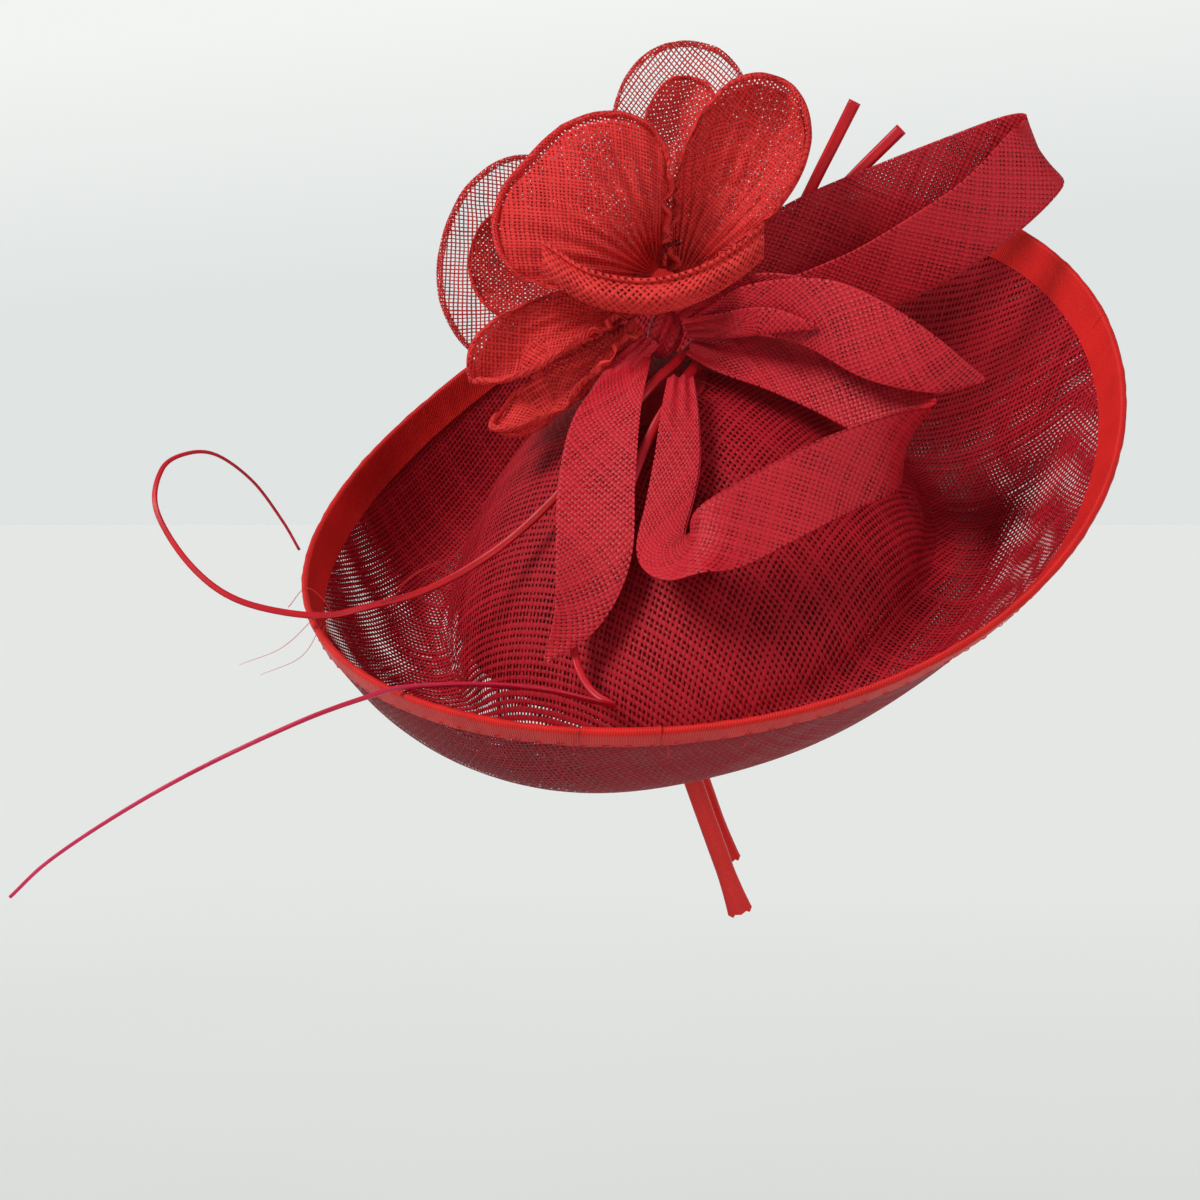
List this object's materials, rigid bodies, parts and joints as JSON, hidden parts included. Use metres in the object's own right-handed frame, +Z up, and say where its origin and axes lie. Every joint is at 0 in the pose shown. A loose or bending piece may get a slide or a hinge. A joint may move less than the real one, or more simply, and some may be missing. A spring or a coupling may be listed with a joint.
{
  "type": "fascinator headpiece",
  "caption": "Red open-weave saucer fascinator worn tilted on a sprung headband, with bound wired edge, ribbon loops and tails, a petal flower and curled feather quills.",
  "frame": {"origin": "inner top of the headband, where the wearer's head carries it", "axes": "+X the way the wearer faces, +Y to the wearer's left, +Z up as worn"},
  "size_m": [0.3859, 0.2637, 0.315],
  "materials": {
    "sinamay": "matt stiffened open weave",
    "binding": "ribbed ribbon, low sheen",
    "satin": "satin ribbon",
    "petal": "sheer stiffened open weave",
    "ribbon": "stiffened open weave strip",
    "quill": "dyed stripped feather spine, satin",
    "wire": "drawn wire",
    "core": "moulded band"
  },
  "bodies": {
    "headpiece": {"saucer_top_layer": "sinamay", "saucer_under_layer": "sinamay", "brim_wire": "wire", "edge_binding": "binding", "headband_core": "core", "headband_cover": "satin", "crown_pad": "sinamay", "trim_base": "sinamay", "trim_knot": "ribbon", "flower_heart": "petal", "petal_back": "petal", "petal_right": "petal", "petal_cup": "petal", "petal_left": "petal", "petal_low_upper": "petal", "petal_low_under": "petal", "petal_lip": "petal", "loop_lower": "ribbon", "loop_upper": "ribbon", "tail_forward": "ribbon", "tail_down": "ribbon", "quill_curled": "quill", "quill_long": "quill"},
    "leg_right": {"headband_core_right": "core", "headband_cover_right": "satin"},
    "leg_left": {"headband_core_left": "core", "headband_cover_left": "satin"}
  },
  "joints": [
    {"name": "band_flex_right", "type": "hinge", "parent": "headpiece", "child": "leg_right", "pos_m": [0.01306, -0.06746, -0.03689], "axis": [-0.9426, 0, -0.3338], "range_deg": [-5, 15], "stiffness_Nm_per_rad": 0.5},
    {"name": "band_flex_left", "type": "hinge", "parent": "headpiece", "child": "leg_left", "pos_m": [0.01306, 0.06746, -0.03689], "axis": [0.9426, 0, 0.3338], "range_deg": [-5, 15], "stiffness_Nm_per_rad": 0.5}
  ]
}
